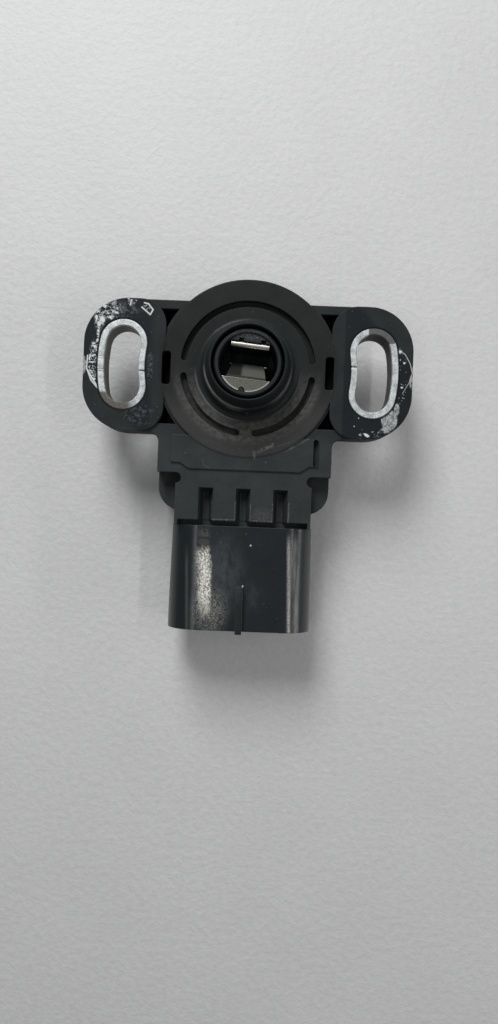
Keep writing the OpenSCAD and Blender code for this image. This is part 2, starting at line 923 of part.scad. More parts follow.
// Sheet on the rotor's flange with two pairs of fingers
module wiper() {
  color(bronze) {
    translate([0, 0, flange_z - wiper_t]) linear_extrude(wiper_t) difference() {
      arc_band((wiper_r[0] + wiper_r[1]) / 2, wiper_r[1] - wiper_r[0],
        wiper_angle - wiper_half_angle, 2 * wiper_half_angle);
      rotate(rest_turn) for (a = post_angles)
        rotate(a) translate([post_r, 0]) circle(d = post_d + 4 * mould_gap, $fn = 24);
    }
    for (r = [collector_r, resistor_r], side = [-1, 1])
      rotate(wiper_angle) translate([r + side * finger_pitch / 2, 0, 0]) finger();
  }
}

// One spring finger, which reaches down to its track
module finger() {
  low = track_z + slide_gap + wiper_t / 2;
  high = flange_z - wiper_t / 2;
  foot = finger_w;
  along_x(finger_w) strip([
    [finger_l, high],
    [finger_l - 2 * foot, high],
    [foot, low],
    [-foot, low],
    [-3 * foot, low + 2 * foot]
  ], wiper_t);
}

housing();
back_cover();
cover_seal();
sleeve_left();
sleeve_right();
shaft_seal();
thrust_washer();
element_board();
resistor_track();
collector_track();
board_pads();
terminal_supply();
terminal_signal();
terminal_ground();
contact_spring_supply();
contact_spring_signal();
contact_spring_ground();
rotor();
shaft_clip();
wiper();
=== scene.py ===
import json
import math

import bmesh
import bpy
from mathutils import Matrix, Vector

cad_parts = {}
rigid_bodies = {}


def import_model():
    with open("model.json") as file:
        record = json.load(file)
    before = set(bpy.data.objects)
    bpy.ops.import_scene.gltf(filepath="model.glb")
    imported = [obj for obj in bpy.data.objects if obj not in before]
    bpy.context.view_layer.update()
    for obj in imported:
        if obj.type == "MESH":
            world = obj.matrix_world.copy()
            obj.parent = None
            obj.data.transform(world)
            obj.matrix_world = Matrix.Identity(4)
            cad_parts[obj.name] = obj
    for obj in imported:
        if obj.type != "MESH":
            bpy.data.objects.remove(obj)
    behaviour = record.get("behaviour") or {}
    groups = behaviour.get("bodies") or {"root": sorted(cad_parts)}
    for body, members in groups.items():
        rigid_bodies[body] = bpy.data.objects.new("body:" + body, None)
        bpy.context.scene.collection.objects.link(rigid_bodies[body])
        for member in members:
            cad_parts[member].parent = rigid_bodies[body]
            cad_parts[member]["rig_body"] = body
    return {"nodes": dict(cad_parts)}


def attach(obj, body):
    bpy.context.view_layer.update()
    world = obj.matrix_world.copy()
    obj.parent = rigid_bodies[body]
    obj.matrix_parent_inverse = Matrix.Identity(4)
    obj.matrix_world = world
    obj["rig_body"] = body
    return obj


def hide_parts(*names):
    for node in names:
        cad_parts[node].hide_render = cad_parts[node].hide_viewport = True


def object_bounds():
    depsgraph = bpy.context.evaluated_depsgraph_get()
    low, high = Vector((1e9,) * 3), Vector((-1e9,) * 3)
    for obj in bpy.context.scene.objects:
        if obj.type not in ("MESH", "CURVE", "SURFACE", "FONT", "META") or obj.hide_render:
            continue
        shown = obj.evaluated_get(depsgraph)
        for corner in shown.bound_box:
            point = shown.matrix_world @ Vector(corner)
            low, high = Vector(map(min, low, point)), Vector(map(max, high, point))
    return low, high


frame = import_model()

# Throttle position sensor lying on its back, seen from straight above. Objects are
# in metres, and the places and widths of all marks are in the drawing's millimetres.
MM = 0.001
cad_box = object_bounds()

# Camera: where it stands over the sensor, and the turn of the sensor in the view
CAMERA_AT = (1.1 * MM, -24.05 * MM, 129.2 * MM)
CAMERA_TURN = math.radians(2.2)
CAMERA_LENS = 27.04
SENSOR_WIDTH = 36.0
CAMERA_NEAR = 5 * MM

# Rounding of the sleeves, and the angles that still count as one smooth face
SLEEVE_EDGE = 0.2 * MM
SLEEVE_SEGMENTS = 3
EDGE_ANGLE = math.radians(50)
SMOOTH_ANGLE = math.radians(22)
FLAT_ANGLE = math.radians(0.6)
MERGE_REACH = 0.03 * MM
SHADER_SAMPLES = 6

# The floor's side, and how far it lies below the sensor
FLOOR_SIDE = 6
FLOOR_GAP = 0.02 * MM

# Lamps: name, place, what it points at, size, watts and tint
LAMPS = [
    ("window", (-100, 300, 280), (0, 0, 0), (160, 220), 1.58, (0.98, 0.99, 1.0)),
    ("tube", (-95, -60, 330), (0, -20, 0), (40, 120), 0.07, (1, 1, 1)),
    ("strip", (206, -60, 330), (0, -20, 0), (14, 300), 0.2, (1, 1, 1)),
    ("low_strip", (330, -60, 150), (0, -20, 0), (14, 260), 0.16, (1, 1, 1)),
]
ROOM_TINT = (0.95, 0.98, 1.0, 1)
ROOM_LIGHT = 0.14

# Where the drawing has the slots, the sleeves' rims, the arc grooves and the pockets
SLOT_R = 21.35
SLOT_HALF = math.radians(9.84)
SLEEVE_RIM = (3.9, 4.24)
GROOVE = (10.35, 11.45)
POCKET_X = (11.8, 18.5)
POCKET_Y = (-10.3, 10.3)
RIBS_X = (-5.2, -1.25, 1.25, 5.05, 7.75)
RIBS_TOP = -22.4
RIBS_FOOT = -25.6
PAD_EDGE_X = 16.15
CLIP_TURN = math.radians(-5.5)

# Lean of the streaks down the drafted shroud, about its middle
SHROUD_MID = 36
SHROUD_LEAN = 0.038

# Where one zone of the shell fades into the next, as the two ends of a ramp
EAR_FACE = (-0.75, -0.3)
FRONT_FACES = (-4.4, -3.6)
GROOVE_FLOOR = (-0.3, -0.7)
POCKET_FLOOR = (-0.9, -2.4)
HUB_EDGE = (15.3, 14.9)
NECK_START = (-9.0, -14.0)
SHROUD_START = (-26.3, -26.8)
COLLAR_SIDE = (7.7, 7.3)
COLLAR_GLOSS = (8.9, 8.5)

# Tints of the shell, the two of a pair mixed by a noise
# The ears' tint is darker and the neck's lighter: painted shade and light, for the brighter light
# on the neck
EAR = ((0.0165, 0.0196, 0.0205), (0.0218, 0.0254, 0.0264))
NECK = ((0.028, 0.032, 0.0325), (0.0355, 0.04, 0.0405))
HUB = ((0.0118, 0.0135, 0.0135), (0.0172, 0.019, 0.0186))
HUB_DUST = ((0.056, 0.0555, 0.053), (0.112, 0.109, 0.102))
HUB_FOOT = (0.056, 0.056, 0.053)
FILLET = (0.011, 0.0145, 0.015)
COLLAR = (0.0115, 0.0155, 0.0165)
# Painted highlight arcs on the collar's rim and foot
COLLAR_PAINTED_HIGHLIGHT = (0.25, 0.255, 0.255)
WORN_PAD = ((0.006, 0.0088, 0.0108), (0.0105, 0.0142, 0.0165))
SHROUD = ((0.0075, 0.0118, 0.0135), (0.0125, 0.0172, 0.019))
# Painted sheen: a soft bluish reflection over the shroud's left half
SHROUD_PAINTED_SHEEN = (0.045, 0.053, 0.06)
SHROUD_BLOT = (0.04, 0.046, 0.052)
SHROUD_STAIN = (0.06, 0.056, 0.05)
# Painted light on the shroud's right-hand rounded edge
SHROUD_PAINTED_EDGE_LIGHT = (0.034, 0.038, 0.042)
# Painted highlight: the lamps' glints and sheen streaked down the shroud
SHROUD_PAINTED_GLINT = (0.92, 0.88, 0.8)
# Paler sharp edges: partly wear, partly painted highlight on rounded edges
EDGE_WEAR_AND_HIGHLIGHT = (0.16, 0.165, 0.165)
# Pale rib lines: partly wear, partly painted highlight on the ribs' edges
RIB_WEAR_AND_HIGHLIGHT = (0.3, 0.3, 0.29)
SCRATCH = (0.2, 0.2, 0.195)
DUST = (0.5, 0.5, 0.48)
HAZE = (0.24, 0.27, 0.3)
CHIP = (0.42, 0.41, 0.38)
RESIDUE = ((0.84, 0.86, 0.86), (0.52, 0.55, 0.57))
# Painted shade in the gap round the sleeves
PAINTED_GAP_SHADE = (0.004, 0.005, 0.006)
# Painted shade on the arc grooves' floors
PAINTED_GROOVE_SHADE = (0.006, 0.0075, 0.0075)
# Painted shade in the deep pockets
PAINTED_POCKET_SHADE = (0.003, 0.004, 0.0045)

# Tints of the rotor, the sleeves, the clip and the floor
ROTOR = ((0.006, 0.0085, 0.01), (0.0115, 0.0145, 0.016))
ROTOR_RUB = (0.13, 0.14, 0.155)
SLEEVE = ((0.76, 0.8, 0.8), (0.46, 0.48, 0.48))
SLEEVE_PIT = (0.16, 0.17, 0.17)
SLEEVE_LINE = (0.16, 0.16, 0.15)
BROWN_STAIN = ((0.17, 0.157, 0.137), (0.04, 0.036, 0.03))
DARK_STAIN = ((0.075, 0.075, 0.068), (0.045, 0.047, 0.043))
# Inner walls of the sleeve bores: stain and painted shade, darker with depth
LEFT_BORE_STAIN_AND_SHADE = ((0.2, 0.185, 0.155), (0.11, 0.102, 0.088))
RIGHT_BORE_STAIN_AND_SHADE = ((0.06, 0.06, 0.05), (0.03, 0.031, 0.027))
CLIP_SLOPE = ((0.56, 0.55, 0.49), (0.33, 0.325, 0.29))
# Painted shadow of the collar on the leaf's left part
CLIP_PAINTED_SHADOW = (0.07, 0.068, 0.058)
CLIP_SHELF = ((0.24, 0.236, 0.21), (0.12, 0.119, 0.106))
# Painted highlight along the clip shelf's rim
CLIP_PAINTED_RIM_HIGHLIGHT = (0.62, 0.6, 0.55)
# Painted shade along the clip's fold
CLIP_PAINTED_FOLD_SHADE = (0.05, 0.048, 0.04)
CLIP_ROLL = ((0.66, 0.64, 0.585), (0.46, 0.445, 0.4))
# Painted shade: black and not metal, down the well behind the clip
CLIP_PAINTED_WELL_SHADE = (0.017, 0.022, 0.022)
PAPER = ((0.54, 0.54, 0.53), (0.74, 0.74, 0.73))

# Inner finishes: name, tint, roughness, metal, and the nodes that have it
INNER_FINISHES = [
    ("contact_bronze", (0.62, 0.4, 0.2), 0.3, 1.0, (
        "wiper", "thrust_washer",
        "contact_spring_supply", "contact_spring_signal", "contact_spring_ground",
    )),
    ("terminal_tin", (0.74, 0.72, 0.66), 0.28, 1.0, (
        "terminal_supply", "terminal_signal", "terminal_ground",
    )),
    ("seal_rubber", (0.02, 0.02, 0.021), 0.6, 0.0, ("cover_seal", "shaft_seal")),
    ("board_ceramic", (0.78, 0.77, 0.72), 0.5, 0.0, ("element_board",)),
    ("carbon_film", (0.02, 0.02, 0.022), 0.42, 0.0, ("resistor_track",)),
    ("silver_film", (0.76, 0.76, 0.74), 0.36, 1.0, ("collector_track", "board_pads")),
]
INNER_CLOUD = 0.8
INNER_SHADE = 0.75


class Field:
    """A value or vector that changes over a surface. Sums on it add nodes."""

    def __init__(self, surface, socket):
        self.surface = surface
        self.socket = socket

    def math(self, operation, *others):
        values = dict(enumerate((self, *others)))
        return self.surface.node("ShaderNodeMath", {"operation": operation}, values)

    def vector(self, operation, *others, output=0):
        values = dict(enumerate((self, *others)))
        settings = {"operation": operation}
        return self.surface.node("ShaderNodeVectorMath", settings, values, output)

    def __add__(self, other):
        return self.math("ADD", other)

    __radd__ = __add__

    def __sub__(self, other):
        return self.math("SUBTRACT", other)

    def __rsub__(self, other):
        return self.math("MULTIPLY", -1.0).math("ADD", other)

    def __mul__(self, other):
        return self.math("MULTIPLY", other)

    __rmul__ = __mul__

    def __truediv__(self, other):
        return self.math("DIVIDE", other)

    def low(self, other):
        return self.math("MINIMUM", other)

    def high(self, other):
        return self.math("MAXIMUM", other)

    def size(self):
        return self.math("ABSOLUTE")

    def ramp(self, start, end):
        """0 at start, 1 at end and smooth between, whichever of the two is larger."""
        if start > end:
            return 1.0 - self.ramp(end, start)
        return self.surface.node(
            "ShaderNodeMapRange",
            {"interpolation_type": "SMOOTHSTEP"},
            {0: self, 1: start, 2: end, 3: 0.0, 4: 1.0},
        )


def most(fields):
    """The largest of several masks at each point."""
    result = fields[0]
    for field in fields[1:]:
        result = result.high(field)
    return result


class Surface:
    """One material, with its Principled shader and the nodes that feed it.

    Its x, y, z and flat are the object's own coordinates in millimetres.
    """

    def __init__(self, name, **constants):
        self.material = bpy.data.materials.new(name)
        self.material.use_nodes = True
        self.tree = self.material.node_tree
        self.shader = self.tree.nodes["Principled BSDF"]
        for socket, value in constants.items():
            self.shader.inputs[socket].default_value = value
        place = self.node("ShaderNodeTexCoord", {}, {}, "Object")
        self.spread = place.vector("MULTIPLY", (1 / MM, 1 / MM, 1 / MM))
        parts = self.node("ShaderNodeSeparateXYZ", {}, {0: self.spread})
        sockets = parts.socket.node.outputs
        self.x, self.y, self.z = (Field(self, socket) for socket in sockets)
        self.flat = self.spread.vector("MULTIPLY", (1, 1, 0))
        self.radius = self.flat.vector("LENGTH", output=1)

    def node(self, kind, settings, values, output=0):
        made = self.tree.nodes.new(kind)
        for name, value in settings.items():
            setattr(made, name, value)
        for socket, value in values.items():
            if isinstance(value, Field):
                self.tree.links.new(value.socket, made.inputs[socket])
            else:
                made.inputs[socket].default_value = value
        return Field(self, made.outputs[output])

    def noise(self, scale, detail=3.0, roughness=0.55, stretch=(1, 1, 1), seed=0.0, place=None):
        """Noise about 0.5 whose lumps are scale mm across."""
        seat = (place or self.spread).vector("MULTIPLY_ADD", stretch, (seed, seed, seed))
        values = {"Vector": seat, "Scale": 1 / scale, "Detail": detail, "Roughness": roughness}
        return self.node("ShaderNodeTexNoise", {}, values)

    def blend(self, mask, under, over):
        """Colour under where mask is 0, and over where it is 1."""
        values = {0: mask, 6: colour(under), 7: colour(over)}
        return self.node("ShaderNodeMix", {"data_type": "RGBA"}, values, 2)

    def layers(self, base, *coats):
        """Base under several coats, each a mask and a colour."""
        for mask, tint in coats:
            base = self.blend(mask, base, tint)
        return base

    def spot(self, x, y, rx, ry=None, soft=0.4):
        """1 inside an ellipse about (x, y) and 0 outside, with a soft edge."""
        ry = ry or rx
        off = self.flat.vector("SUBTRACT", (x, y, 0))
        size = off.vector("MULTIPLY", (1 / rx, 1 / ry, 0)).vector("LENGTH", output=1)
        return size.ramp(1 + soft, 1 - soft)

    def reach(self, *points):
        """Distance in mm from the line through points."""
        parts = []
        for (ax, ay), (bx, by) in zip(points, points[1:]):
            way = (bx - ax, by - ay, 0)
            square = way[0] ** 2 + way[1] ** 2
            off = self.flat.vector("SUBTRACT", (ax, ay, 0))
            along = (off.vector("DOT_PRODUCT", way, output=1) / square).low(1.0).high(0.0)
            foot = self.node("ShaderNodeCombineXYZ", {}, {0: along * way[0], 1: along * way[1]})
            parts.append(off.vector("SUBTRACT", foot).vector("LENGTH", output=1))
        near = parts[0]
        for part in parts[1:]:
            near = near.low(part)
        return near

    def stroke(self, width, *points):
        """1 along a line through points and 0 beside it."""
        return self.reach(*points).ramp(width, width * 0.3)

    def edges(self, radius):
        """1 along sharp edges, fading over radius mm."""
        bent = self.bevel(radius)
        true = self.node("ShaderNodeNewGeometry", {}, {}, "True Normal")
        return (1.0 - bent.vector("DOT_PRODUCT", true, output=1)).ramp(0.02, 0.22)

    def bevel(self, radius):
        """The normal with all edges rounded by radius mm."""
        values = {"Radius": radius * MM}
        return self.node("ShaderNodeBevel", {"samples": SHADER_SAMPLES}, values)

    def band(self, value, start, end, soft):
        """1 where value lies between start and end."""
        return value.ramp(start - soft, start + soft) * value.ramp(end + soft, end - soft)

    def feed(self, socket, value):
        self.tree.links.new(value.socket, self.shader.inputs[socket])

    def bump(self, height, depth, edge=0.0):
        """Relief of a height from 0 to 1, depth mm deep, on edges edge mm round."""
        values = {"Height": height, "Distance": depth * MM, "Strength": 1.0}
        if edge:
            values["Normal"] = self.bevel(edge)
        self.feed("Normal", self.node("ShaderNodeBump", {}, values))


class Shell(Surface):
    """The moulding's material, with the noises and zones that its marks share."""

    def __init__(self, name, **constants):
        super().__init__(name, **constants)
        self.cloud = self.noise(5, 4)
        self.clumps = self.noise(0.8, 5, 0.65)
        self.fine = self.noise(0.22, 4, 0.7)
        self.speck = self.noise(0.24, 3, 0.8, seed=5.0).ramp(0.4, 0.64)
        self.curl = (self.noise(0.62, 3, 0.6, seed=3.0) - 0.5).size().ramp(0.035, 0.0105)
        self.on_top = self.z.ramp(*EAR_FACE)
        self.front = self.z.ramp(*FRONT_FACES)
        self.shroud = self.y.ramp(*SHROUD_START)


def colour(value):
    """An (r, g, b) or a Field, as a colour socket takes it."""
    if isinstance(value, Field):
        return value
    return (*value, 1.0)


def left_residue(s):
    """Pale residue on the left-hand ear's pad, as a mask."""
    chalk = s.noise(0.5, 6, 0.7, seed=19.0)
    lumps = s.clumps * 0.5 + chalk * 0.5
    flakes = lumps.ramp(0.535, 0.56)
    thin = lumps.ramp(0.49, 0.53)
    solid = chalk.ramp(0.36, 0.44)
    crumbs = flakes.high(s.curl * chalk.ramp(0.42, 0.5))
    return most([
        s.spot(-24.0, 9.2, 2.4, 1.7, 0.2) * crumbs,
        s.spot(-25.2, 7.6, 0.8, 1.9) * crumbs.high(thin * 0.6),
        s.spot(-24.75, 7.25, 0.45, 0.5, 0.3) * solid,
        s.spot(-25.25, 6.6, 0.3, 0.4, 0.3) * solid,
        s.stroke(0.26, (-25.65, 6.7), (-25.75, 8.4), (-24.6, 9.4), (-23.5, 10.05)) * thin,
        s.stroke(0.32, (-25.5, 2.2), (-25.35, 6.6)) * thin,
        s.spot(-26.0, 0.3, 0.85, 3.3, 0.2) * crumbs,
        s.spot(-26.3, -1.25, 0.34, 0.3) * thin,
        s.spot(-25.8, -2.7, 0.26, 0.2),
        s.stroke(0.15, (-27.0, 1.2), (-27.1, -0.9), (-26.3, -2.9), (-25.1, -4.25)),
        s.stroke(0.17, (-26.95, -1.2), (-26.0, -2.7), (-25.1, -4.15)),
        s.stroke(0.2, (-20.5, 10.95), (-19.2, 10.7)) * thin,
        s.stroke(0.15, (-20.0, 10.8), (-20.15, 9.95)),
        s.spot(-19.9, 10.5, 0.6, 0.5) * crumbs * 0.8,
        s.stroke(0.17, (-18.2, 9.65), (-16.75, 8.45), (-16.3, 9.3), (-17.1, 10.25), (-17.8, 10.4)),
        s.spot(-17.3, 9.7, 0.6, 0.55) * crumbs,
        s.spot(-23.0, 7.7, 1.4, 0.35) * flakes,
    ])


def right_residue(s):
    """Pale marks on the right-hand ear's pad, as a mask."""
    flakes = s.clumps.ramp(0.53, 0.6)
    thin = s.clumps.ramp(0.44, 0.52)
    dots = s.noise(0.3, 1, seed=7.0).ramp(0.66, 0.72)
    hair = s.stroke(0.085, (25.2, 4.1), (26.3, 3.4), (27.2, 1.9), (27.6, 0.35))
    hair = hair.high(s.stroke(0.07, (27.6, 0.3), (27.2, -1.2), (26.1, -3.2)) * 0.8)
    patch = s.spot(24.05, -7.75, 1.35, 1.75, 0.07).high(s.spot(25.25, -5.9, 0.45, 1.0, 0.15))
    patch = patch * s.x.ramp(25.75, 25.6)
    return most([
        hair * 0.75,
        s.spot(25.3, 3.9, 0.45, 0.4) * thin,
        patch * (0.62 - s.curl * 0.5) * (0.6 + thin * 0.4),
        s.spot(23.4, -9.5, 0.9, 0.5) * thin * 0.5,
        s.spot(19.8, -10.35, 0.75, 0.25, 0.2) * thin,
        s.spot(20.5, -10.55, 0.3, 0.2),
        s.spot(21.7, -10.2, 0.9, 0.4) * flakes,
        s.spot(25.9, -0.8, 0.85, 4.2, 0.2) * dots * 0.8,
        s.spot(26.2, 1.9, 0.16),
        s.spot(25.95, -2.2, 0.2, 0.14),
        s.spot(18.9, -7.6, 0.1).high(s.spot(18.2, -9.0, 0.1)) * 0.7,
    ])


def ear_haze(s):
    """Faint bluish scuffs on the left-hand pad, as a mask."""
    upper = s.spot(-21.6, 9.1, 2.8, 1.2) * s.clumps.ramp(0.44, 0.6)
    scrawl = s.spot(-16.5, -0.3, 0.5, 2.6) * s.curl
    lower = s.spot(-18.2, -8.2, 2.4, 1.9, 0.3) * s.clumps.ramp(0.48, 0.6)
    return most([upper * 0.7, scrawl, lower * 0.42]) * s.on_top


def edge_chips(s):
    """Bruised spots on the outer edges of both ears, as a mask."""
    jagged = s.noise(0.7, 5, 0.7, seed=23.0)
    left = s.spot(-27.75, -0.4, 0.55, 1.6, 0.15)
    right = s.spot(27.8, 0.8, 0.22, 0.7).high(s.spot(27.5, -1.2, 0.3, 1.0))
    near_top = (s.z + (jagged - 0.5) * 3.0).ramp(-1.2, -0.5)
    return left.high(right) * jagged.ramp(0.42, 0.5) * near_top


def panel_scratches(s):
    """Rubbed streaks on hub and panel, as a mask."""
    rub = s.clumps.ramp(0.4, 0.62)
    return s.front * most([
        s.stroke(0.4, (1.6, -14.2), (4.7, -12.6)) * rub,
        s.stroke(0.25, (1.4, -13.9), (1.7, -14.9)) * rub * 0.7,
        s.stroke(0.16, (4.6, -10.3), (6.6, -8.2)) * rub * 0.6,
        s.stroke(0.25, (6.9, -13.6), (10.6, -11.4)) * rub * 0.45,
        s.stroke(0.12, (4.3, -13.3), (8.2, -11.8)) * rub * 0.4,
        s.stroke(0.09, (-7.1, -15.4), (-6.9, -16.4), (-5.9, -16.9)) * 0.4,
        s.spot(3.6, -15.6, 0.14) * 0.6,
        s.spot(-10.0, -14.5, 0.12) * 0.6,
    ])


def dust_dots(s):
    """Two bright grains on the shroud and faint ones all over, as a mask."""
    grains = s.spot(1.6, -29.7, 0.15).high(s.spot(0.5, -36.6, 0.14)) * s.front
    return grains.high(s.noise(0.32, 1, seed=11.0).ramp(0.765, 0.81) * 0.28)


def footprint(s):
    """Where the throttle body's bosses rubbed the pads dark, as a mask."""
    sides = []
    for side, soft in ((1, 0.2), (-1, 0.6)):
        x, y = s.x * side, s.y * side
        edge = x.ramp(PAD_EDGE_X - soft, PAD_EDGE_X + soft)
        sides.append(edge * (x * 0.73 + y * 0.683).ramp(21.7, 20.4))
    return sides[0].high(sides[1]) * s.on_top


def sleeve_gap_shade(s):
    """Painted shade in the gap round both sleeves, as a mask."""
    turns = [SLOT_HALF * step / 2 for step in (-2, -1, 0, 1, 2)]
    arc = [(SLOT_R * math.cos(turn), SLOT_R * math.sin(turn)) for turn in turns]
    near = s.reach(*arc).low(s.reach(*((-x, y) for x, y in arc)))
    return s.band(near, *SLEEVE_RIM, 0.07)


def groove_floor_shade(s):
    """Painted shade on the floors of the hub's arc grooves, as a mask."""
    return s.band(s.radius, *GROOVE, 0.06) * s.z.ramp(*GROOVE_FLOOR)


def pockets(s):
    """Painted shade in the deep pockets between hub and pads, as a mask."""
    across = s.band(s.x.size(), *POCKET_X, 0.3) * s.band(s.y, *POCKET_Y, 0.2)
    return s.z.ramp(*POCKET_FLOOR) * across


def shroud_painted_glints(s):
    """Painted lamp highlights and sheen in streaks down the connector's shroud, broken up by
    speckle, as a mask.
    """
    streak = s.noise(0.45, 3, 0.6, stretch=(1, 0.1, 1), seed=2.0).ramp(0.3, 0.65)
    lean = s.x + (s.y + SHROUD_MID) * SHROUD_LEAN
    rough = s.noise(0.7, 6, 0.75, stretch=(1, 0.6, 1), seed=13.0) - 0.5
    ragged = lean + rough * 1.6
    start = s.y + rough * 5.0
    fade = start.ramp(-29.8, -31.6) * s.y.ramp(-44.0, -38.0)
    core = ragged.ramp(-7.8, -6.2) * ragged.ramp(-4.6, -5.4) * fade
    core = core * (0.08 + s.speck + streak * 0.3)
    top = s.band(lean, -6.9, -5.2, 0.6) * s.band(s.y, -29.0, -27.2, 0.6) * s.speck * 0.09
    foot = s.spot(-4.9, -41.0, 2.5, 3.4, 0.6) * s.speck * 0.24
    thin = s.band(lean, -9.2, -8.8, 0.25) * s.y.ramp(-29.0, -34.0) * 0.055
    line = s.band(lean, 8.0, 8.5, 0.25) * (0.08 + s.speck * 0.28 + streak * 0.12)
    sheen = s.band(lean, 8.9, 9.8, 0.5) * (0.06 + streak * 0.12)
    right = line.high(sheen) * s.y.ramp(-27.0, -30.0)
    hidden = s.spot(-6.2, -29.3, 1.2, 0.8, 0.25)
    return most([core, top, foot, right, thin]) * (1.0 - hidden * 0.92) * s.front


def shroud_tint(s):
    """Dark glossy plastic of the shroud, with painted sheen on the left and painted glints in
    streaks.
    """
    blot = s.noise(1.6, 4, 0.65, stretch=(1, 0.5, 1))
    # painted sheen of a soft reflection on the shroud's left half
    sheen_patch = s.spot(-3.0, -35.2, 3.2, 5.6, 0.6) * blot.ramp(0.3, 0.62) * s.front
    patch = s.spot(2.4, -38.5, 1.4, 2.6, 0.6) * blot.ramp(0.45, 0.7)
    return s.layers(
        s.blend(s.cloud, *SHROUD),
        (sheen_patch * 0.9, SHROUD_PAINTED_SHEEN),
        (patch * 0.5, SHROUD_BLOT),
        (s.spot(-6.35, -29.4, 0.95, 0.6) * 0.75, SHROUD_STAIN),
        # painted light along the shroud's right-hand rounded edge
        (s.x.ramp(9.3, 10.3) * 0.7, SHROUD_PAINTED_EDGE_LIGHT),
        # painted highlights of the lamps in streaks down the shroud
        (shroud_painted_glints(s), SHROUD_PAINTED_GLINT),
    )


def neck_wear_and_highlights(s):
    """Pale specks along the ribs, partly wear and partly painted edge highlight, and dust at their
    feet, as a mask.
    """
    lines = [s.stroke(0.16, (x, RIBS_TOP), (x, RIBS_FOOT)) for x in RIBS_X]
    lines.append(s.stroke(0.3, (-5.2, RIBS_FOOT), (-1.3, RIBS_FOOT)))
    lines.append(s.stroke(0.3, (1.3, RIBS_FOOT), (5.0, RIBS_FOOT)))
    lines.append(s.spot(3.2, -24.6, 1.5, 1.2, 0.6) * 0.4)
    return most(lines) * s.speck * s.front


def hub_tint(s):
    """Neutral grey of the hub, brown with dust below the dark collar, with painted highlight arcs
    on the collar.
    """
    turn = s.y.math("ARCTAN2", s.x)
    polar = s.node("ShaderNodeCombineXYZ", {}, {0: s.radius, 1: turn * 0.5})
    rub = s.noise(0.3, 4, 0.7, place=polar).ramp(0.35, 0.7)
    low = s.y.ramp(1.0, -6.5)
    dust = s.band(s.radius, 8.8, 12.6, 0.6) * low * (0.5 + s.clumps.ramp(0.35, 0.6) * 0.5)
    rim = s.band(s.radius, 12.4, 14.9, 0.5) * s.y.ramp(-2.0, -9.0)
    side = s.x.ramp(0.5, -3.0).high(s.x.ramp(3.0, 6.0) * 0.6) * s.y.ramp(0.5, -2.5)
    # painted highlight arcs on the collar's top edge and foot, lower left and right
    highlight_arcs = s.band(s.radius, 7.08, 7.45, 0.1).high(s.band(s.radius, 8.75, 9.0, 0.15) * 0.5)
    return s.layers(
        s.blend(s.cloud.ramp(0.3, 0.7), *HUB),
        (rim * 0.6, HUB_FOOT),
        (dust * 0.9, s.blend(rub * 0.5 + s.fine * 0.5, *HUB_DUST)),
        (s.band(s.radius, 7.6, 8.9, 0.3) * 0.8, FILLET),
        (s.radius.ramp(*COLLAR_SIDE), COLLAR),
        (highlight_arcs * side * (0.4 + rub * 0.6), COLLAR_PAINTED_HIGHLIGHT),
    )


def shell_tint(s, worn_pad, residue):
    """The shell's colour, from the bare moulding up to what lies on it, with painted light and
    shade among its layers.
    """
    patchy = s.cloud.ramp(0.35, 0.65)
    # darker ears and lighter neck: painted shade and light
    bare = s.blend(s.y.ramp(*NECK_START), s.blend(patchy, *EAR), s.blend(patchy, *NECK))
    base = s.layers(
        bare,
        (s.radius.ramp(*HUB_EDGE) * s.front, hub_tint(s)),
        (worn_pad * 0.9, s.blend(s.cloud, *WORN_PAD)),
        (s.shroud, shroud_tint(s)),
        # paler along sharp edges: partly wear, partly painted edge highlight
        (s.edges(0.16) * s.fine.ramp(0.3, 0.7) * 0.45, EDGE_WEAR_AND_HIGHLIGHT),
        # pale rib lines: partly wear, partly painted edge highlight
        (neck_wear_and_highlights(s) * 0.5, RIB_WEAR_AND_HIGHLIGHT),
        (panel_scratches(s) * 0.55, SCRATCH),
        (dust_dots(s), DUST),
        (ear_haze(s) * 0.42, HAZE),
        (edge_chips(s) * 0.85, CHIP),
        (residue, s.blend(s.fine, *RESIDUE)),
        # painted shade in the gap round the sleeves
        (sleeve_gap_shade(s) * 0.9, PAINTED_GAP_SHADE),
        # painted shade on the arc grooves' floors
        (groove_floor_shade(s) * 0.6, PAINTED_GROOVE_SHADE),
        # painted shade in the deep pockets
        (pockets(s) * 0.85, PAINTED_POCKET_SHADE),
    )
    return base.vector("MULTIPLY", 0.55 + s.fine * 0.5 + s.clumps * 0.4)


def shell_plastic():
    """Black glass-filled moulding, scuffed, with pale residue on the ears."""
    s = Shell("shell_plastic", IOR=1.5, **{"Specular IOR Level": 0.16, "Coat Roughness": 0.24})
    worn_pad = footprint(s)
    residue = left_residue(s).high(right_residue(s)) * s.on_top
    s.feed("Base Color", shell_tint(s, worn_pad, residue))
    rough = 0.5 + s.cloud * 0.1 + s.fine * 0.12 - s.shroud * 0.28 - worn_pad * 0.1
    s.feed("Roughness", (rough + residue * 0.3).low(0.95))
    s.feed("Coat Weight", (s.shroud * 0.6).high(s.radius.ramp(*COLLAR_GLOSS) * 0.12))
    grain = s.noise(0.13, 2, 0.6)
    s.bump(grain * 0.5 + s.fine * (0.6 + s.shroud * 0.3) + residue * 2.0, 0.012, 0.22)
    return s.material


def rotor_plastic():
    """Smoother black moulding with a few rubbed spots over the flat."""
    s = Surface("rotor_plastic", IOR=1.5, **{"Specular IOR Level": 0.32})
    fine = s.noise(0.2, 4, 0.7)
    rub = s.spot(0.5, 4.35, 2.6, 0.7) * fine.ramp(0.5, 0.6)
    s.feed("Base Color", s.blend(rub * 0.7, s.blend(s.noise(1.5, 4), *ROTOR), ROTOR_RUB))
    s.feed("Roughness", 0.36 + fine * 0.2)
    s.bump(fine, 0.008, 0.12)
    return s.material


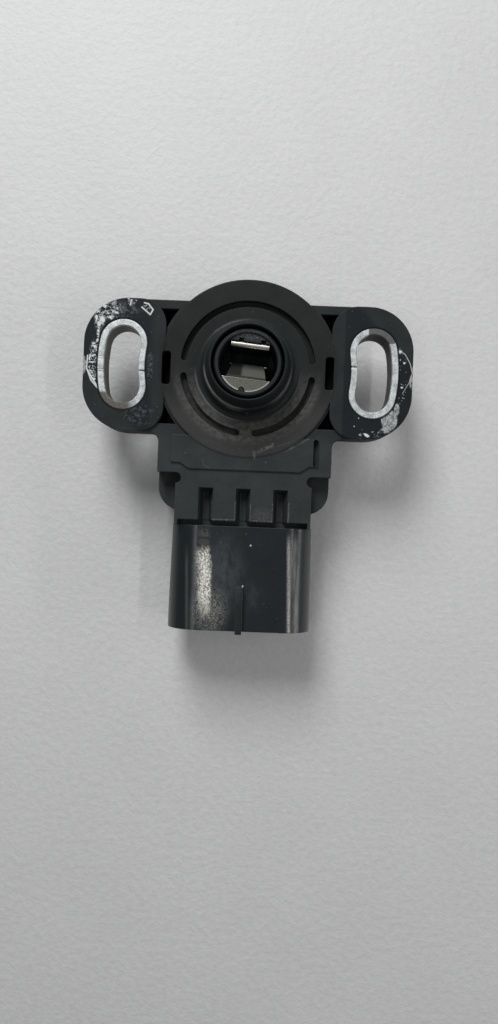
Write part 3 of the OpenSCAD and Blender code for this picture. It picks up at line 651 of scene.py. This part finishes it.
def sleeve_steel():
    """Plated strip, whitened by corrosion, with brown stains, and darker down its bore: stain and
    painted shade.
    """
    s = Surface("sleeve_steel")
    cloud = s.noise(1.3, 4, 0.6)
    fine = s.noise(0.16, 4, 0.75)
    lines = most([
        s.stroke(0.09, (-25.7, level), (-24.2, level + 0.03)) for level in (1.25, 0.8, -0.95, -1.35)
    ])
    foot = s.stroke(2.5, (-25.0, -4.9), (-24.0, -6.6), (-22.2, -7.4), (-20.9, -7.2))
    foot = foot * s.y.ramp(-4.4, -5.0)
    arc = s.spot(22.5, 7.0, 2.9, 2.6, 0.05) * s.x.ramp(19.9, 20.2) * s.y.ramp(4.9, 5.2)
    # below the rim the bore walls darken: stain and painted shade
    inside = s.z.ramp(-0.35, -0.9)
    walls = s.blend(s.x.ramp(-1, 1), s.blend(cloud, *LEFT_BORE_STAIN_AND_SHADE), s.blend(cloud, *RIGHT_BORE_STAIN_AND_SHADE))
    s.feed("Base Color", s.layers(
        s.blend(cloud.ramp(0.38, 0.64), *SLEEVE),
        (fine.ramp(0.5, 0.6) * 0.7, SLEEVE_PIT),
        (lines * 0.8, SLEEVE_LINE),
        (foot, s.blend(fine.ramp(0.38, 0.62), *BROWN_STAIN)),
        (arc * 0.93, s.blend(fine, *DARK_STAIN)),
        (inside * 0.92, walls),
    ))
    stain_and_shade = foot.high(arc).high(inside)
    s.feed("Metallic", 0.45 - stain_and_shade * 0.35)
    s.feed("Roughness", 0.42 + fine * 0.2 + stain_and_shade * 0.15)
    s.bump(fine + cloud - lines * 1.5, 0.015)
    return s.material


def clip_steel():
    """Spring steel, bright on its roll, with painted shade down the well, a painted shadow on the
    leaf and a painted highlight on the shelf's rim.
    """
    s = Surface("clip_steel", **{"Specular IOR Level": 0.1})
    fine = s.noise(0.14, 4, 0.75)
    patchy = fine.ramp(0.35, 0.65)
    across = s.x * math.cos(CLIP_TURN) + s.y * math.sin(CLIP_TURN)
    back = s.y * math.cos(CLIP_TURN) - s.x * math.sin(CLIP_TURN)
    roll = back.ramp(2.3, 2.5) * s.z.ramp(4.15, 4.3)
    # painted shade down the well behind the clip, black and not metal
    well_shade = back.ramp(0.25, 0.6) * (1.0 - roll)
    # painted highlight along the shelf's rim
    shelf = s.blend(s.radius.ramp(4.4, 4.6), s.blend(patchy, *CLIP_SHELF), CLIP_PAINTED_RIM_HIGHLIGHT)
    s.feed("Base Color", s.layers(
        s.blend(patchy, *CLIP_SLOPE),
        # painted shadow of the collar on the leaf's left part
        (across.ramp(-0.55, -1.1) * 0.9, CLIP_PAINTED_SHADOW),
        (s.z.ramp(4.38, 4.5), shelf),
        # painted shade along the fold between shelf and leaf
        (s.band(back, -2.75, -2.6, 0.07) * 0.6, CLIP_PAINTED_FOLD_SHADE),
        (roll, s.blend(fine, *CLIP_ROLL)),
        (well_shade, CLIP_PAINTED_WELL_SHADE),
    ))
    s.feed("Metallic", 1.0 - well_shade)
    s.feed("Roughness", 0.34 + fine * 0.16 + well_shade * 0.4)
    s.bump(fine, 0.003, 0.06)
    return s.material


def plain(name, tint, roughness, metallic):
    """A small inner finish: one tint with a little cloud in colour and gloss."""
    s = Surface(name, Metallic=metallic)
    cloud = s.noise(INNER_CLOUD, 4)
    s.feed("Base Color", s.blend(cloud, tint, tuple(value * INNER_SHADE for value in tint)))
    s.feed("Roughness", roughness + cloud * 0.12)
    s.bump(s.noise(INNER_CLOUD * 0.2, 3), 0.006)
    return s.material


def floor_material():
    """Plain pale paper with a faint grain."""
    s = Surface("floor_paper")
    fine = s.noise(1.2, 4, 0.65)
    s.feed("Base Color", s.blend(s.noise(16, 3) * 0.3 + fine * 0.7, *PAPER))
    s.feed("Roughness", 0.5 + fine * 0.2)
    s.bump(fine, 0.16)
    return s.material


def use(material, *names):
    """Gives CAD nodes their material by slot."""
    for name in names:
        target = frame["nodes"][name]
        target.data.materials.clear()
        target.data.materials.append(material)


def select_only(piece):
    bpy.ops.object.select_all(action="DESELECT")
    piece.select_set(True)
    bpy.context.view_layer.objects.active = piece


def clean_faces(mesh):
    """Joins the short edges and flat triangles of a meshed solid."""
    shape = bmesh.new()
    shape.from_mesh(mesh)
    bmesh.ops.remove_doubles(shape, verts=shape.verts, dist=MERGE_REACH)
    bmesh.ops.dissolve_limit(
        shape, angle_limit=FLAT_ANGLE, verts=shape.verts, edges=shape.edges
    )
    shape.to_mesh(mesh)
    shape.free()


def rounded_copy(node, name):
    """A copy of a CAD node with its sharp edges rounded, which stands for it."""
    source = frame["nodes"][node]
    mesh = source.data.copy()
    mesh.name = name
    piece = bpy.data.objects.new(name, mesh)
    bpy.context.scene.collection.objects.link(piece)
    clean_faces(mesh)
    select_only(piece)
    bpy.ops.object.shade_smooth()
    bevel = piece.modifiers.new("rounding", "BEVEL")
    bevel.width = SLEEVE_EDGE
    bevel.segments = SLEEVE_SEGMENTS
    bevel.limit_method = "ANGLE"
    bevel.angle_limit = EDGE_ANGLE
    bevel.use_clamp_overlap = False
    bevel.miter_outer = "MITER_ARC"
    flatten = piece.modifiers.new("flat_faces", "WEIGHTED_NORMAL")
    flatten.weight = 100
    flatten.keep_sharp = True
    bpy.ops.object.modifier_apply(modifier=bevel.name)
    bpy.ops.object.shade_smooth_by_angle(angle=SMOOTH_ANGLE)
    bpy.ops.object.modifier_apply(modifier=flatten.name)
    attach(piece, source["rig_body"])
    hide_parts(node)
    return piece


def smooth_node(name):
    """Shades a CAD node's round faces smooth; its points stay where they are."""
    select_only(frame["nodes"][name])
    bpy.ops.object.shade_smooth_by_angle(angle=SMOOTH_ANGLE)


def add_floor():
    height = cad_box[0][2] - FLOOR_GAP
    bpy.ops.mesh.primitive_plane_add(size=FLOOR_SIDE, location=(0, 0, height))
    floor = bpy.context.object
    floor.name = "floor"
    floor.data.materials.append(floor_material())


def add_lamp(name, at, target, size, power, tint):
    lamp = bpy.data.lights.new(name, "AREA")
    lamp.shape = "RECTANGLE"
    lamp.size, lamp.size_y = (side * MM for side in size)
    lamp.energy = power
    lamp.color = tint
    holder = bpy.data.objects.new(name, lamp)
    bpy.context.scene.collection.objects.link(holder)
    holder.location = Vector(at) * MM
    back = (Vector(at) - Vector(target)).normalized()
    across = Vector((0, 1, 0)).cross(back).normalized()
    holder.rotation_euler = Matrix((across, back.cross(across), back)).transposed().to_euler()


def add_room():
    world = bpy.data.worlds.new("room")
    world.use_nodes = True
    background = world.node_tree.nodes["Background"]
    background.inputs[0].default_value = ROOM_TINT
    background.inputs[1].default_value = ROOM_LIGHT
    bpy.context.scene.world = world


def add_camera():
    camera = bpy.data.cameras.new("camera")
    camera.lens = CAMERA_LENS
    camera.sensor_width = SENSOR_WIDTH
    camera.clip_start = CAMERA_NEAR
    holder = bpy.data.objects.new("camera", camera)
    bpy.context.scene.collection.objects.link(holder)
    holder.location = CAMERA_AT
    holder.rotation_euler = (0, 0, CAMERA_TURN)
    bpy.context.scene.camera = holder
    bpy.context.scene.view_settings.view_transform = "Standard"


def dress():
    """Gives every CAD node its finish."""
    use(shell_plastic(), "housing", "back_cover")
    use(rotor_plastic(), "rotor")
    use(sleeve_steel(), "sleeve_left", "sleeve_right")
    use(clip_steel(), "shaft_clip")
    for name, tint, roughness, metallic, nodes in INNER_FINISHES:
        use(plain(name, tint, roughness, metallic), *nodes)


def round_sleeves():
    for node in ("sleeve_left", "sleeve_right"):
        rounded_copy(node, node + "_rolled")


add_camera()
for lamp_row in LAMPS:
    add_lamp(*lamp_row)
add_room()
add_floor()
dress()
round_sleeves()
for node_name in frame["nodes"]:
    smooth_node(node_name)
